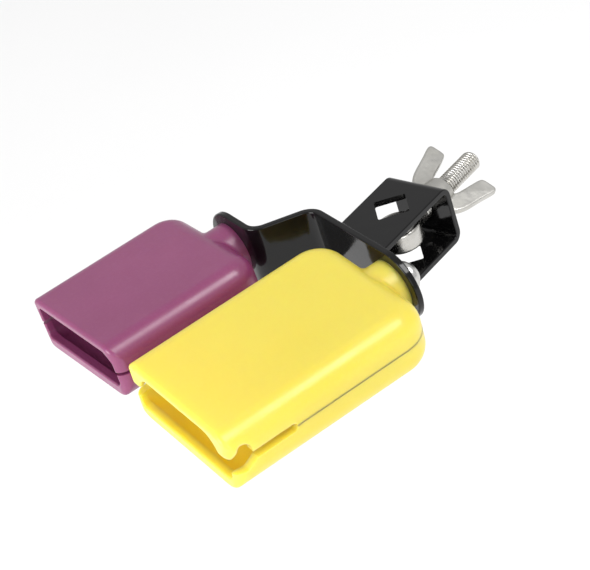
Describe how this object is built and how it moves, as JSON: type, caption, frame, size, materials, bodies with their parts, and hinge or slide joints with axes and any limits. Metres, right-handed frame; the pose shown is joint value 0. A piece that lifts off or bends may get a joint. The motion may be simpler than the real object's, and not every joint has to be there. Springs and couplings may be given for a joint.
{
  "type": "cowbell",
  "caption": "Two-tone bell block set: two hollow plastic blocks with open mouths on a cranked flat steel bracket, with a rod clamp closed by an eye bolt and wing nut.",
  "frame": {"origin": "centre of the eye bolt's ring, on the axis of the rod it holds", "axes": "+Z along the rod, up; -Y towards the open mouths of the blocks; +X from the high block to the low block"},
  "size_m": [0.1391, 0.1653, 0.0298],
  "materials": {
    "yellow_plastic": "satin moulded",
    "purple_plastic": "satin moulded",
    "black_paint": "gloss black",
    "plated_steel": "bright zinc or nickel plate",
    "brass": "machined"
  },
  "bodies": {
    "bracket": {"bracket_strap": "black_paint", "clamp_yoke": "black_paint", "wing_nut_washer": "plated_steel"},
    "low_bell": {"low_block": "yellow_plastic", "low_block_insert": "brass", "low_flat_washer": "plated_steel", "low_lock_washer": "plated_steel", "low_block_screw": "plated_steel"},
    "high_bell": {"high_block": "purple_plastic", "high_block_insert": "brass", "high_flat_washer": "plated_steel", "high_lock_washer": "plated_steel", "high_block_screw": "plated_steel"},
    "eye": {"eye_bolt": "plated_steel"},
    "nut": {"wing_nut": "plated_steel"}
  },
  "joints": [
    {"name": "low_bell_turn", "type": "hinge", "parent": "bracket", "child": "low_bell", "pos_m": [0.02414, -0.02121, 0], "axis": [0, 1, 0], "continuous": true},
    {"name": "high_bell_turn", "type": "hinge", "parent": "bracket", "child": "high_bell", "pos_m": [-0.04913, -0.0438, 0], "axis": [0, 1, 0], "continuous": true},
    {"name": "eye_bolt_slide", "type": "slide", "parent": "bracket", "child": "eye", "axis": [-0.284, 0.9588, 0], "range_m": [-0.0025, 0.0043]},
    {"name": "wing_nut_turn", "type": "hinge", "parent": "bracket", "child": "nut", "pos_m": [0, 0, 0], "axis": [-0.284, 0.9588, 0], "range_deg": [-1300, 780]}
  ],
  "couplings": [
    {"joint": "wing_nut_turn", "follows": "eye_bolt_slide", "rad_per_m": -5026.5}
  ]
}
